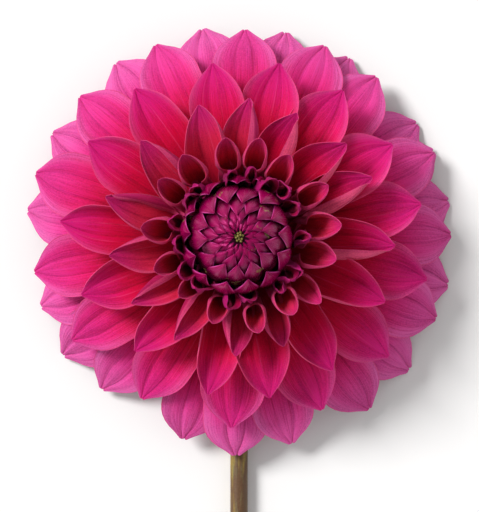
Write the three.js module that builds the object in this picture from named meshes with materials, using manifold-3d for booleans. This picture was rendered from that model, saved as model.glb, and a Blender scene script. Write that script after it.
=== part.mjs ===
// A cut dahlia in full bloom, laid on its back: the bloom faces up, and its stem bends at the neck
// and runs along the surface towards -Y. Millimetres, +Z up, resting on z = 0, bloom axis on Z.
import * as THREE from 'three';
import { mergeVertices } from 'three/addons/utils/BufferGeometryUtils.js';
import Module from 'manifold-3d';

const wasm = await Module();
wasm.setup();

// Overall sizes
const BLOOM_DIAMETER = 128;
const BLOOM_HEIGHT = 56; // surface to the top of the bud
const STEM_DIAMETER = 5.3;
const STEM_REACH = 120; // bloom axis to the cut end
const NECK_BEND_RADIUS = 6.4;
const CLEARANCE = 0.3; // between pieces that touch on the real flower

// Receptacle, the fleshy disc that carries the florets
const RECEPTACLE_RADIUS = 11;
const RECEPTACLE_DEPTH = 4.2; // neck to rim
const RECEPTACLE_RISE = 8; // rim to the top of its dome

// Ray florets, in one spiral from the outermost to the innermost
const FLORET_COUNT = 73;
const SEPARATE_FLORETS = 49; // the rest are joined in one heart
const FLORET_STEP = 24.8; // degrees from one to the next
const FIRST_ANGLE = 317; // degrees
const CROWDING = 6; // degrees: the spiral is tighter on one side
const CROWDING_ANGLE = 34; // degrees
const FLORET_WIDTH = 17.5;
const INNER_WIDTH = 9.5;
const FLORET_THICKNESS = 0.7;
const CLAW_SHARE = 0.3; // width at the attachment over the full width
const WIDEST_AT = 0.6; // along the floret
const TIP_WIDTH = 0.6;
const INNER_TIP_RADIUS = 27.5;
const INNER_TIP_DROP = 8; // tip of the innermost floret below the top of the bud
const RESTING_SHARE = 0.14; // of the spiral: these tips lie on the surface
const DOME_POWER = 0.8; // the tips above them rise as a dome
const FIRST_SEAT = 4; // degrees up the receptacle's dome for the outermost floret
const HEART_SEAT = 46; // degrees up the dome for the ring that carries the joined florets
const HEART_RING_THICKNESS = 2.4;
const OUTER_ARCH = 5; // rise of an outer floret above its seat before it falls back
const INNER_ARCH = 11;
const CUP_DEPTH = 2.2;
const STEM_SPREAD = 34; // degrees to each side of the stem over which florets are lifted

// Bud of unopened florets
const BUD_RADIUS = 17;
const BUD_NECK_RADIUS = 4.2;
const BUD_WIDEST_SHARE = 0.64; // of the height from its neck to its top

// Bracts behind the bloom
const OUTER_BRACTS = 5;
const OUTER_BRACT_LENGTH = 16;
const OUTER_BRACT_WIDTH = 6.5;
const OUTER_BRACT_THICKNESS = 0.8;
const INNER_BRACTS = 8;
const INNER_BRACT_REACH = 6;
const INNER_BRACT_NOTCH = 1.6;
const INNER_BRACT_THICKNESS = 0.5;

// Directions of the laid-down flower, in degrees about the bloom axis
const STEM_ANGLE = 270;

// Facets
const FLORET_ACROSS = 4;
const FLORET_ALONG = 5;
const ROUND = 24;
const STEM_ROUND = 12;
const STEM_ALONG = 48;
const BEND_STEPS = 10;
const DOME_RINGS = 4;

const STEM_COLOUR = 0x7d6338;
const BRACT_COLOUR = 0x5d6b2e;
const RECEPTACLE_COLOUR = 0x8a8f4a;
const OUTER_COLOUR = 0xe24a9c;
const INNER_COLOUR = 0xa8123f;
const BUD_COLOUR = 0x6b1440;

const stemRadius = STEM_DIAMETER / 2;
const neckHeight = stemRadius + NECK_BEND_RADIUS;
const receptacleBottom = neckHeight + CLEARANCE;
const rimHeight = receptacleBottom + RECEPTACLE_DEPTH;
const budBottom = rimHeight + RECEPTACLE_RISE + CLEARANCE;
const innerTipHeight = BLOOM_HEIGHT - INNER_TIP_DROP;

const { lerp, degToRad, smoothstep } = THREE.MathUtils;

function finish(colour, roughness) {
  return new THREE.MeshStandardMaterial({ color: colour, roughness, metalness: 0 });
}

function named(name, geometry, material) {
  const mesh = new THREE.Mesh(geometry, material);
  mesh.name = name;
  return mesh;
}

// Angle of a floret about the bloom axis, in radians
function floretAngle(index) {
  const turn = degToRad(FIRST_ANGLE + FLORET_STEP * index);
  return turn + degToRad(CROWDING) * Math.cos(turn + degToRad(CROWDING_ANGLE));
}

// How far a floret's tip is lifted to pass over the stem, from 0 to 1
function overStem(angle) {
  const turn = angle - degToRad(STEM_ANGLE);
  const away = Math.abs(Math.atan2(Math.sin(turn), Math.cos(turn)));
  return 1 - smoothstep(away, 0, degToRad(STEM_SPREAD));
}

// Radius and height of the middle of a piece that stands clear of the receptacle's dome
function seatPoint(degrees, thickness) {
  const standOff = CLEARANCE + thickness;
  const turn = degToRad(degrees);
  return new THREE.Vector2(
    (RECEPTACLE_RADIUS + standOff) * Math.cos(turn),
    rimHeight + (RECEPTACLE_RISE + standOff) * Math.sin(turn)
  );
}

// Centre line of a floret as radius and height, from its seat on the receptacle to its tip
function floretLine(index) {
  const age = index / (FLORET_COUNT - 1);
  const seat = index < SEPARATE_FLORETS ? lerp(FIRST_SEAT, HEART_SEAT, age) : HEART_SEAT;
  const start = seatPoint(seat, FLORET_THICKNESS);
  const shortening = smoothstep(age, RESTING_SHARE, 1);
  const tipRadius = lerp(BLOOM_DIAMETER / 2, INNER_TIP_RADIUS, shortening);
  const rise = Math.max(0, (age - RESTING_SHARE) / (1 - RESTING_SHARE)) ** DOME_POWER;
  const lift = (STEM_DIAMETER + 2 * CLEARANCE) * overStem(floretAngle(index)) * (1 - age) ** 2;
  const tipHeight = lerp(FLORET_THICKNESS / 2, innerTipHeight, rise) + lift;
  const bend = new THREE.Vector2(
    lerp((start.x + tipRadius) / 2, BUD_RADIUS, age),
    start.y + lerp(OUTER_ARCH, INNER_ARCH, age)
  );
  return new THREE.QuadraticBezierCurve(start, bend, new THREE.Vector2(tipRadius, tipHeight));
}

// Half the width of a leaf-shaped outline, as a share of its widest, at a place along it
function outline(along) {
  if (along < WIDEST_AT) {
    return lerp(CLAW_SHARE, 1, Math.sin((Math.PI / 2) * (along / WIDEST_AT)));
  }
  return Math.cos((Math.PI / 2) * ((along - WIDEST_AT) / (1 - WIDEST_AT))) ** 0.8;
}

// A thin closed leaf that follows a line, bent from a flat block
function leaf(line, angle, size) {
  const geometry = new THREE.BoxGeometry(1, 1, 1, FLORET_ACROSS, FLORET_ALONG, 1);
  const place = geometry.attributes.position;
  for (let i = 0; i < place.count; i += 1) {
    const across = place.getX(i) * 2;
    const along = place.getY(i) + 0.5;
    const centre = line.getPoint(along);
    const tangent = line.getTangent(along);
    const cup = size.cup * Math.sin(Math.PI * along) * across * across;
    const lift = cup + place.getZ(i) * size.thickness;
    const radius = centre.x - tangent.y * lift;
    const height = centre.y + tangent.x * lift;
    const wanted = Math.max((size.width / 2) * outline(along), TIP_WIDTH / 2);
    const allowed = radius * Math.tan(size.halfSector) - CLEARANCE / 2;
    const side = Math.min(wanted, allowed) * across;
    place.setXYZ(
      i,
      radius * Math.cos(angle) + side * Math.sin(angle),
      radius * Math.sin(angle) - side * Math.cos(angle),
      height
    );
  }
  return geometry;
}

function floretGeometry(index) {
  const age = index / (FLORET_COUNT - 1);
  const angle = floretAngle(index);
  const toNext = floretAngle(index + 1) - angle;
  const toLast = angle - floretAngle(index - 1);
  return leaf(floretLine(index), angle, {
    width: lerp(FLORET_WIDTH, INNER_WIDTH, age * age),
    thickness: FLORET_THICKNESS,
    cup: CUP_DEPTH * smoothstep(age, 0, 0.5),
    halfSector: Math.min(toNext, toLast) / 2,
  });
}

function toSolid(geometry) {
  const bare = geometry.clone();
  bare.deleteAttribute('normal');
  bare.deleteAttribute('uv');
  const welded = mergeVertices(bare, 1e-4);
  const mesh = new wasm.Mesh({
    numProp: 3,
    vertProperties: new Float32Array(welded.attributes.position.array),
    triVerts: new Uint32Array(welded.index.array),
  });
  return new wasm.Manifold(mesh);
}

function toGeometry(solid) {
  const mesh = solid.getMesh();
  const geometry = new THREE.BufferGeometry();
  geometry.setAttribute('position', new THREE.BufferAttribute(mesh.vertProperties, 3));
  geometry.setIndex(new THREE.BufferAttribute(mesh.triVerts, 1));
  geometry.computeVertexNormals();
  return geometry;
}

// A solid turned about the bloom axis from points of radius and height
function turned(points) {
  const geometry = new THREE.LatheGeometry(points.map(([x, y]) => new THREE.Vector2(x, y)), ROUND);
  geometry.rotateX(Math.PI / 2);
  return geometry;
}

// Points of radius and height over the top of a dome, from just above its rim to the axis
function dome(radius, rim, rise) {
  const points = [];
  for (let i = 1; i < DOME_RINGS; i += 1) {
    const turn = (Math.PI / 2) * (i / DOME_RINGS);
    points.push([radius * Math.cos(turn), rim + rise * Math.sin(turn)]);
  }
  points.push([0, rim + rise]);
  return points;
}

function makeStem() {
  const bend = new THREE.QuadraticBezierCurve3(
    new THREE.Vector3(0, 0, neckHeight),
    new THREE.Vector3(0, 0, stemRadius),
    new THREE.Vector3(0, -NECK_BEND_RADIUS, stemRadius)
  );
  const points = bend.getPoints(BEND_STEPS);
  points.push(new THREE.Vector3(0, -STEM_REACH, stemRadius));
  const path = new THREE.CurvePath();
  points.slice(1).forEach((point, i) => path.add(new THREE.LineCurve3(points[i], point)));
  const section = new THREE.Shape().absarc(0, 0, stemRadius, 0, 2 * Math.PI);
  const geometry = new THREE.ExtrudeGeometry(section, {
    extrudePath: path,
    steps: STEM_ALONG,
    curveSegments: STEM_ROUND / 2,
  });
  return named('stem', geometry, finish(STEM_COLOUR, 0.6));
}

function makeReceptacle() {
  const profile = [
    [0, receptacleBottom],
    [stemRadius, receptacleBottom],
    [RECEPTACLE_RADIUS * 0.75, receptacleBottom + RECEPTACLE_DEPTH * 0.35],
    [RECEPTACLE_RADIUS, rimHeight],
  ];
  profile.push(...dome(RECEPTACLE_RADIUS, rimHeight, RECEPTACLE_RISE));
  return named('receptacle', turned(profile), finish(RECEPTACLE_COLOUR, 0.7));
}

function makeBud() {
  const height = BLOOM_HEIGHT - budBottom;
  const waist = height * BUD_WIDEST_SHARE;
  const profile = [[0, budBottom], [BUD_NECK_RADIUS, budBottom]];
  for (let i = 1; i <= DOME_RINGS; i += 1) {
    const part = i / DOME_RINGS;
    const swell = Math.sin((Math.PI / 2) * part);
    profile.push([lerp(BUD_NECK_RADIUS, BUD_RADIUS, swell), budBottom + waist * part]);
  }
  profile.push(...dome(BUD_RADIUS, budBottom + waist, height - waist));
  return named('bud', turned(profile), finish(BUD_COLOUR, 0.45));
}

// The innermost florets stand so close that they are one solid, on a ring round the bud's neck
function makeHeart() {
  const seat = seatPoint(HEART_SEAT, HEART_RING_THICKNESS / 2);
  const ring = new THREE.TorusGeometry(seat.x, HEART_RING_THICKNESS / 2, 8, ROUND);
  ring.translate(0, 0, seat.y);
  let solid = toSolid(ring);
  for (let index = SEPARATE_FLORETS; index < FLORET_COUNT; index += 1) {
    solid = solid.add(toSolid(floretGeometry(index)));
  }
  return named('heart_florets', toGeometry(solid), finish(INNER_COLOUR, 0.5));
}

function makeOuterBract(index) {
  const angle = degToRad(STEM_ANGLE + 360 * ((index + 0.5) / OUTER_BRACTS));
  const seat = receptacleBottom + RECEPTACLE_DEPTH * 0.2;
  const inner = stemRadius + (RECEPTACLE_RADIUS * 0.75 - stemRadius) * 0.6 + 1;
  const line = new THREE.QuadraticBezierCurve(
    new THREE.Vector2(inner, seat - OUTER_BRACT_THICKNESS),
    new THREE.Vector2(inner + OUTER_BRACT_LENGTH * 0.5, seat),
    new THREE.Vector2(inner + OUTER_BRACT_LENGTH, seat - 3)
  );
  const geometry = leaf(line, angle, {
    width: OUTER_BRACT_WIDTH,
    thickness: OUTER_BRACT_THICKNESS,
    cup: 0,
    halfSector: Math.PI / OUTER_BRACTS,
  });
  return named(`outer_bract_${index + 1}`, geometry, finish(BRACT_COLOUR, 0.6));
}

// The thin inner bracts overlap into one lobed cup under the outermost florets
function makeInnerBracts() {
  const inner = RECEPTACLE_RADIUS + CLEARANCE;
  const height = rimHeight - INNER_BRACT_THICKNESS;
  const geometry = turned([
    [inner, height - INNER_BRACT_THICKNESS],
    [inner + INNER_BRACT_REACH, height],
    [inner + INNER_BRACT_REACH, height + INNER_BRACT_THICKNESS],
    [inner, height],
    [inner, height - INNER_BRACT_THICKNESS],
  ]);
  const place = geometry.attributes.position;
  for (let i = 0; i < place.count; i += 1) {
    const radius = Math.hypot(place.getX(i), place.getY(i));
    const share = (radius - inner) / INNER_BRACT_REACH;
    const lobe = 1 - Math.abs(Math.cos((INNER_BRACTS / 2) * Math.atan2(place.getY(i), place.getX(i))));
    const scale = (radius - share * lobe * INNER_BRACT_NOTCH) / radius;
    place.setXY(i, place.getX(i) * scale, place.getY(i) * scale);
  }
  return named('inner_bracts', geometry, finish(BRACT_COLOUR, 0.6));
}

const dahlia = new THREE.Group();
dahlia.add(makeStem(), makeReceptacle(), makeInnerBracts(), makeBud(), makeHeart());
for (let index = 0; index < OUTER_BRACTS; index += 1) {
  dahlia.add(makeOuterBract(index));
}
const outerColour = new THREE.Color(OUTER_COLOUR);
const innerColour = new THREE.Color(INNER_COLOUR);
for (let index = 0; index < SEPARATE_FLORETS; index += 1) {
  const colour = outerColour.clone().lerp(innerColour, index / (SEPARATE_FLORETS - 1));
  const name = `floret_${String(index + 1).padStart(2, '0')}`;
  dahlia.add(named(name, floretGeometry(index), finish(colour, 0.5)));
}

// The part's origin is the middle of its footprint on the surface
const box = new THREE.Box3().setFromObject(dahlia);
const middle = box.getCenter(new THREE.Vector3());
dahlia.position.set(-middle.x, -middle.y, -box.min.z);

export default dahlia;
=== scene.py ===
# A cut dahlia in full bloom, laid on its back on a pale table. Metres, +Z up, in the frame of the
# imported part: the bloom faces up, and its stem runs along the table towards -Y.
import logging
import math
from dataclasses import astuple, dataclass, field, replace
from enum import Enum
from typing import Any, Sequence

import bpy
import numpy as np
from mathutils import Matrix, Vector


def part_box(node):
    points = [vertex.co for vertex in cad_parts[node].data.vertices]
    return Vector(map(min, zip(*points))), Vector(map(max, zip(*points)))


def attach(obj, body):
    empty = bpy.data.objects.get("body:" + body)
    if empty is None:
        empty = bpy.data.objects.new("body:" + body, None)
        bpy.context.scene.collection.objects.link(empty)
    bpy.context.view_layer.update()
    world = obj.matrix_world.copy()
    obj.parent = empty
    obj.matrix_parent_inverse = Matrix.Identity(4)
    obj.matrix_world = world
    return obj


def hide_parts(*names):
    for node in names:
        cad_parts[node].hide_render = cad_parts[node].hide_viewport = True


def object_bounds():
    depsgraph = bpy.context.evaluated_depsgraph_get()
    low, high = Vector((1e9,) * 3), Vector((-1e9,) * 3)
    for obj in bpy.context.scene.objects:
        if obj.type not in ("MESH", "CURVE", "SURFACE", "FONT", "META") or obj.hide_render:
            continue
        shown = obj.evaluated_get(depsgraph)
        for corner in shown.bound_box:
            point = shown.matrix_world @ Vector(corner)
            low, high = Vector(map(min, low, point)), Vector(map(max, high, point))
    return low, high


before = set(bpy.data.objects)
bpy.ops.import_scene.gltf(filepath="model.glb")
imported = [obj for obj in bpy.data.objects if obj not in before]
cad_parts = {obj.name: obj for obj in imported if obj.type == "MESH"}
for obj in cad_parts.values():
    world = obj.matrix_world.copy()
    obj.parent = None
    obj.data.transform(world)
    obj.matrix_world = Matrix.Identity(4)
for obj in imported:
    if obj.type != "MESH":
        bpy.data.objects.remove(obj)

SEED = 41
JOIN = 1e-6  # points nearer than this are one, in metres
SOFT_EDGE = math.radians(40.0)  # turned pieces keep an edge that is sharper than this
GOLDEN_TURN = math.radians(137.5)
Colour = tuple[float, float, float]
cad_low, cad_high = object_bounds()
log = logging.getLogger("dahlia")


class Slot(Enum):
    """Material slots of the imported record."""

    OUTER = "outer_floret"
    CUPPED = "cupped_floret"
    ROLLED = "rolled_floret"
    BUD = "bud"
    BRACT = "bract"
    RECEPTACLE = "receptacle"
    STEM = "stem"


def smooth(value: np.ndarray | float, low: float, high: float) -> np.ndarray:
    """Ramps smoothly from 0 at low to 1 at high.

    Args:
        value: Number or array to ramp.
        low: Where the ramp starts.
        high: Where the ramp ends; it may lie below low.

    Returns:
        The ramp's height, from 0 to 1.
    """
    part = np.clip((np.asarray(value, float) - low) / (high - low), 0.0, 1.0)
    return part * part * (3.0 - 2.0 * part)


def bump(value: np.ndarray | float, centre: float, spread: float) -> np.ndarray:
    """Rises to 1 at centre and fades away over spread to each side."""
    return np.exp(-(((np.asarray(value, float) - centre) / spread) ** 2))


# ---------------------------------------------------------------- shader recipes


class Val:
    """A shader value that takes part in Python expressions."""

    def __init__(self, recipe: "Recipe", socket: Any) -> None:
        """Wraps an output socket of a recipe."""
        self.recipe = recipe
        self.socket = socket

    def _math(self, operation: str, *values: Any) -> "Val":
        """Adds one Math node and returns its result."""
        made = self.recipe.node("ShaderNodeMath", {"operation": operation}, dict(enumerate(values)))
        return Val(self.recipe, made.outputs[0])

    def __add__(self, other: Any) -> "Val":
        """Self plus other."""
        return self._math("ADD", self, other)

    def __sub__(self, other: Any) -> "Val":
        """Self minus other."""
        return self._math("SUBTRACT", self, other)

    def __rsub__(self, other: Any) -> "Val":
        """Other minus self."""
        return self._math("SUBTRACT", other, self)

    def __mul__(self, other: Any) -> "Val":
        """Self times other."""
        return self._math("MULTIPLY", self, other)

    __radd__ = __add__
    __rmul__ = __mul__

    def size(self) -> "Val":
        """The value without its sign."""
        return self._math("ABSOLUTE", self)

    def ramp(self, low: float, high: float) -> "Val":
        """Ramps smoothly from 0 at low to 1 at high.

        Args:
            low: Where the ramp starts.
            high: Where the ramp ends; it may lie below low.

        Returns:
            The ramp's height, from 0 to 1.
        """
        if low > high:
            return 1.0 - self.ramp(high, low)
        inputs = {"Value": self, "From Min": low, "From Max": high}
        settings = {"interpolation_type": "SMOOTHSTEP"}
        made = self.recipe.node("ShaderNodeMapRange", settings, inputs)
        return Val(self.recipe, made.outputs["Result"])


class Recipe:
    """The node tree of one material or of the light all round."""

    def __init__(self, owner: bpy.types.Material | bpy.types.World) -> None:
        """Takes over the owner's node tree.

        Args:
            owner: The material or world that the nodes belong to.
        """
        owner.use_nodes = True
        self.owner = owner
        self.tree = owner.node_tree
        self.tree.nodes.clear()

    @classmethod
    def of(cls, name: str) -> "Recipe":
        """Starts the recipe of a new material."""
        return cls(bpy.data.materials.new(name))

    def node(self, kind: str, settings: dict | None = None, inputs: dict | None = None) -> Any:
        """Adds a node.

        Args:
            kind: Node type.
            settings: Properties, which are set first.
            inputs: Values or links by socket name or number.

        Returns:
            The new node.
        """
        made = self.tree.nodes.new(kind)
        for key, value in (settings or {}).items():
            setattr(made, key, value)
        for key, value in (inputs or {}).items():
            self.feed(made.inputs[key], value)
        return made

    def feed(self, socket: Any, value: Any) -> None:
        """Links a value to a socket, or sets it there.

        Args:
            socket: Input socket of a node.
            value: Link, number or colour that it takes.
        """
        if isinstance(value, Val):
            value = value.socket
        if isinstance(value, bpy.types.NodeSocket):
            self.tree.links.new(value, socket)
        elif isinstance(value, tuple) and len(value) == 3 and socket.type == "RGBA":
            socket.default_value = (*value, 1.0)
        else:
            socket.default_value = value

    def attribute(self, name: str) -> Val:
        """Reads one number that a piece carries on its points."""
        made = self.node("ShaderNodeAttribute", {"attribute_name": name})
        return Val(self, made.outputs["Fac"])

    def place(self) -> Any:
        """The point's place on the piece, in metres."""
        return self.node("ShaderNodeTexCoord").outputs["Object"]

    def vector(self, x: Any, y: Any, z: Any) -> Any:
        """Joins three values in one vector."""
        return self.node("ShaderNodeCombineXYZ", None, {0: x, 1: y, 2: z}).outputs[0]

    def noise(self, vector: Any, scale: float, detail: float, rough: float = 0.5) -> Val:
        """Adds a noise pattern.

        Args:
            vector: Where the pattern is read.
            scale: Number of grains to a unit of the vector.
            detail: Number of finer layers.
            rough: Strength of the finer layers.

        Returns:
            The pattern, about 0.5.
        """
        inputs = {"Vector": vector, "Scale": scale, "Detail": detail, "Roughness": rough}
        return Val(self, self.node("ShaderNodeTexNoise", None, inputs).outputs["Fac"])

    def mix(self, share: Any, first: Any, second: Any, blend: str = "MIX") -> Any:
        """Mixes two colours.

        Args:
            share: How much of the second colour is taken.
            first: Colour or colour socket.
            second: Colour or colour socket.
            blend: Way of mixing.

        Returns:
            The mixed colour's socket.
        """
        settings = {"data_type": "RGBA", "blend_type": blend}
        made = self.node("ShaderNodeMix", settings, {0: share, 6: first, 7: second})
        return made.outputs[2]

    def bump(self, height: Val, depth: float, strength: float = 1.0) -> Any:
        """Turns a height pattern into a normal.

        Args:
            height: The pattern, from 0 to 1.
            depth: Height of 1, in metres.
            strength: How much of the effect is used.

        Returns:
            The normal's socket.
        """
        inputs = {"Strength": strength, "Distance": depth, "Height": height}
        return self.node("ShaderNodeBump", None, inputs).outputs["Normal"]

    def finish(self, inputs: dict) -> bpy.types.Material:
        """Adds the shader of a skin and feeds it.

        Args:
            inputs: Values or links by the shader's socket names.

        Returns:
            The material.
        """
        shader = self.node("ShaderNodeBsdfPrincipled", None, inputs)
        self.node("ShaderNodeOutputMaterial", None, {"Surface": shader.outputs["BSDF"]})
        return self.owner


# ---------------------------------------------------------------- finishes


@dataclass(frozen=True)
class PetalFinish:
    """Satin floret skin: crimson at the base, pink towards the tip and on the oldest florets, with
    painted shade and sheen.
    """

    name: str
    sheen: float = 0.04
    # deeper crimson of the florets' foot, darkened further as painted shade where the row above
    # covers it
    throat_and_shade: Colour = (0.39, 0.002, 0.023)
    body: Colour = (0.68, 0.0, 0.049)
    blush: Colour = (0.75, 0.015, 0.26)
    # darker purplish tip: partly the florets' own tint, partly painted shade
    tip: Colour = (0.47, 0.006, 0.18)
    # paler tips of the oldest florets, partly their own colour and partly painted sheen; also a
    # painted highlight on raised margins
    pale_tip_and_sheen: Colour = (0.79, 0.175, 0.49)
    back: Colour = (0.56, 0.020, 0.10)
    old_back: Colour = (0.74, 0.12, 0.38)
    margin: Colour = (0.80, 0.06, 0.22)
    shadow: Colour = (0.44, 0.18, 0.36)
    rim_from: float = 0.94
    lines: tuple[float, ...] = (-0.50, 0.08, 0.50)  # places across of the palest veins
    line_width: float = 0.034
    grain: float = 2200.0  # grains to the metre
    relief: float = 0.0004

    def make(self) -> bpy.types.Material:
        """Builds the material from what each floret carries on its points.

        Returns:
            The material.
        """
        r = Recipe.of(self.name)
        along, across = r.attribute("along"), r.attribute("across")
        age, side, tone = r.attribute("age"), r.attribute("side"), r.attribute("tone")
        edge = across.size()
        veins = r.noise(r.vector(across * 18.0, along * 1.7, tone * 7.0), 2.4, 5.0, 0.7)
        patches = r.noise(r.vector(across * 1.8, along * 2.6, tone * 9.0), 1.5, 3.0)
        grain = r.noise(r.place(), self.grain, 2.0)
        pink = ((1.0 - age) * 0.95 + (along - 0.85) * 1.6 + (veins - 0.5) * 0.8).ramp(0.10, 0.95)
        face = r.mix(pink, self.body, self.blush)
        # darker purplish tips on the middle rows: partly the florets' own tint, partly painted
        # shade on the curled-over tips
        face = r.mix(along.ramp(0.66, 1.0) * age.ramp(0.3, 0.7) * 0.6, face, self.tip)
        # paler tips on the oldest florets, partly their own fading and partly painted sheen; the
        # band along the margins of the middle rows is a painted highlight on their raised edges
        pale_tip_and_sheen = along.ramp(0.62, 1.0) * age.ramp(0.52, 0.05)
        pale_tip_and_sheen = pale_tip_and_sheen + edge.ramp(0.5, 1.0) * along.ramp(0.5, 0.8) * age.ramp(0.95, 0.3) * 0.55
        face = r.mix(pale_tip_and_sheen.ramp(0.0, 1.25) * (0.7 + (veins - 0.5) * 1.1), face, self.pale_tip_and_sheen)
        # painted shade: the foot of each floret, under the row above, turns to the throat colour
        # over its own deeper crimson
        face = r.mix(along.ramp(0.80, 0.38) * 0.85, face, self.throat_and_shade)
        reverse = r.mix((1.0 - age).ramp(0.2, 0.9), self.back, self.old_back)
        colour = r.mix(side.ramp(0.25, 0.75) * 0.85, face, reverse)
        rim = edge.ramp(self.rim_from, self.rim_from + 0.05) * along.ramp(0.15, 0.5) * 0.5
        colour = r.mix(rim, colour, self.margin)
        lines = sum((across - place).size().ramp(self.line_width, 0.0) for place in self.lines)
        lines = lines * along.ramp(0.2, 0.5) * patches.ramp(0.38, 0.58) * age.ramp(0.15, 0.5)
        colour = r.mix(lines * 0.32, colour, self.margin)
        # painted shade along the two lengthwise creases, multiplied in through the shadow colour
        # together with the vein mottling
        crease_shade = (across + 0.29).size().ramp(0.08, 0.0) * 0.36
        crease_shade = (crease_shade + (across - 0.28).size().ramp(0.06, 0.0) * 0.2) * along.ramp(0.2, 0.6)
        shade = (veins - 0.5) * 1.3 + (patches - 0.5) * 0.9 + (grain - 0.5) * 0.7 + tone * 0.08
        dark = ((0.42 - shade).ramp(0.0, 1.0) + crease_shade).ramp(0.0, 1.25) * 0.8
        colour = r.mix(dark, colour, self.shadow, "MULTIPLY")
        relief = veins * 0.75 + grain * 0.25
        return r.finish({
            "Base Color": colour,
            "Roughness": 0.45 + veins * 0.2,
            "Normal": r.bump(relief, self.relief, 0.7),
            "Subsurface Weight": 0.1,
            "Subsurface Scale": 0.0015,
            "Specular IOR Level": 0.08,
            "Sheen Weight": self.sheen,
            "Sheen Roughness": 0.45,
        })


@dataclass(frozen=True)
class BudFinish:
    """Waxy skin of the folded unopened florets, with painted shade at each scale's foot and painted
    highlights on its edges.
    """

    name: str = "bud_scale_skin"
    # painted shade at the foot of each scale
    crevice_shade: Colour = (0.055, 0.0004, 0.013)
    body: Colour = (0.26, 0.0005, 0.064)
    # pale pink of the painted highlight on the scales' edges and streaks
    crest_highlight: Colour = (0.80, 0.09, 0.42)
    fleck: Colour = (0.24, 0.22, 0.055)
    shadow: Colour = (0.40, 0.12, 0.34)
    glint: Colour = (1.0, 0.14, 0.50)
    grain: float = 2400.0  # grains to the metre
    relief: float = 0.00012

    def make(self) -> bpy.types.Material:
        """Builds the material.

        Returns:
            The material.
        """
        r = Recipe.of(self.name)
        along, across, tone = r.attribute("along"), r.attribute("across"), r.attribute("tone")
        edge = across.size()
        veins = r.noise(r.vector(across * 7.0, along * 1.4, tone * 5.0), 2.4, 4.0, 0.65)
        grain = r.noise(r.place(), self.grain, 2.0)
        # painted shade: each scale darkens towards its foot, where the scale outside it covers it
        colour = r.mix(along.ramp(0.20, 0.68), self.crevice_shade, self.body)
        # painted highlight: pale pink along the edges near each scale's tip, and in streaks over
        # its upper part
        colour = r.mix(edge.ramp(0.82, 0.96) * along.ramp(0.45, 0.75) * 0.85, colour, self.crest_highlight)
        colour = r.mix((veins + (grain - 0.5) * 0.4).ramp(0.60, 0.95) * along.ramp(0.4, 0.8) * 0.25,
                       colour, self.crest_highlight)
        spots = r.noise(r.place(), 230.0, 3.0, 0.7).ramp(0.62, 0.68) * along.ramp(0.85, 0.55)
        colour = r.mix(spots * 0.8, colour, self.fleck)
        colour = r.mix((1.05 - grain - veins * 0.2 - tone * 0.1).ramp(0.35, 0.95) * 0.6, colour,
                       self.shadow, "MULTIPLY")
        return r.finish({
            "Base Color": colour,
            "Roughness": 0.18 + veins * 0.16,
            "Normal": r.bump(veins * 0.8 + grain * 0.2, self.relief, 0.7),
            "Specular IOR Level": 0.95,
            "Specular Tint": self.glint,
            "Subsurface Weight": 0.06,
            "Subsurface Scale": 0.0015,
        })


@dataclass(frozen=True)
class LeafFinish:
    """Green skin of bracts, receptacle and the green middle of the bud."""

    name: str
    body: Colour
    vein: Colour
    edge: Colour
    shadow: Colour = (0.5, 0.5, 0.4)
    grain: float = 1500.0  # grains to the metre
    relief: float = 0.0003

    def make(self) -> bpy.types.Material:
        """Builds the material.

        Returns:
            The material.
        """
        r = Recipe.of(self.name)
        along, across, tone = r.attribute("along"), r.attribute("across"), r.attribute("tone")
        veins = r.noise(r.vector(across * 7.0, along * 1.5, tone * 5.0), 2.0, 3.0, 0.6)
        grain = r.noise(r.place(), self.grain, 2.0)
        colour = r.mix(veins.ramp(0.4, 0.7), self.body, self.vein)
        colour = r.mix(across.size().ramp(0.75, 1.0) * 0.7, colour, self.edge)
        colour = r.mix(grain.ramp(0.3, 0.7) * 0.3, colour, self.shadow, "MULTIPLY")
        return r.finish({
            "Base Color": colour,
            "Roughness": 0.45 + grain * 0.2,
            "Normal": r.bump(veins * 0.6 + grain * 0.4, self.relief, 0.6),
            "Specular IOR Level": 0.4,
            "Subsurface Weight": 0.08,
            "Subsurface Scale": 0.002,
        })


@dataclass(frozen=True)
class StemFinish:
    """Olive stem skin that browns towards the cut, with fine ribs and mottling."""

    name: str = "stem_skin"
    olive: Colour = (0.27, 0.185, 0.035)
    brown: Colour = (0.125, 0.062, 0.026)
    green: Colour = (0.20, 0.20, 0.085)
    pith: Colour = (0.62, 0.60, 0.36)
    shadow: Colour = (0.45, 0.4, 0.3)
    stretch: float = 0.22  # streaks are drawn out along the stem
    grain: float = 1800.0  # grains to the metre
    relief: float = 0.0004

    def make(self) -> bpy.types.Material:
        """Builds the material.

        Returns:
            The material.
        """
        r = Recipe.of(self.name)
        along, around, cut = r.attribute("along"), r.attribute("across"), r.attribute("side")
        inputs = {"Vector": r.place(), "Scale": (1.0, self.stretch, 1.0)}
        place = r.node("ShaderNodeMapping", None, inputs).outputs[0]
        streaks = r.noise(place, 700.0, 4.0, 0.65)
        mottle = r.noise(place, 220.0, 3.0, 0.6)
        grain = r.noise(r.place(), self.grain, 2.0)
        brown = (along * 0.9 + (mottle - 0.5) * 2.2 - 0.10).ramp(0.25, 0.50)
        colour = r.mix(brown, self.olive, self.brown)
        colour = r.mix(streaks.ramp(0.5, 0.72) * 0.5, colour, self.green)
        colour = r.mix(grain.ramp(0.35, 0.75) * 0.35, colour, self.shadow, "MULTIPLY")
        colour = r.mix(cut.ramp(0.3, 0.7), colour, self.pith)
        ribs = r.noise(r.vector(around * 9.0, along * 3.0, 0.0), 2.0, 2.0)
        return r.finish({
            "Base Color": colour,
            "Roughness": 0.42 + streaks * 0.25,
            "Normal": r.bump(streaks * 0.6 + ribs * 0.4, self.relief, 0.6),
            "Specular IOR Level": 0.4,
        })


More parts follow.
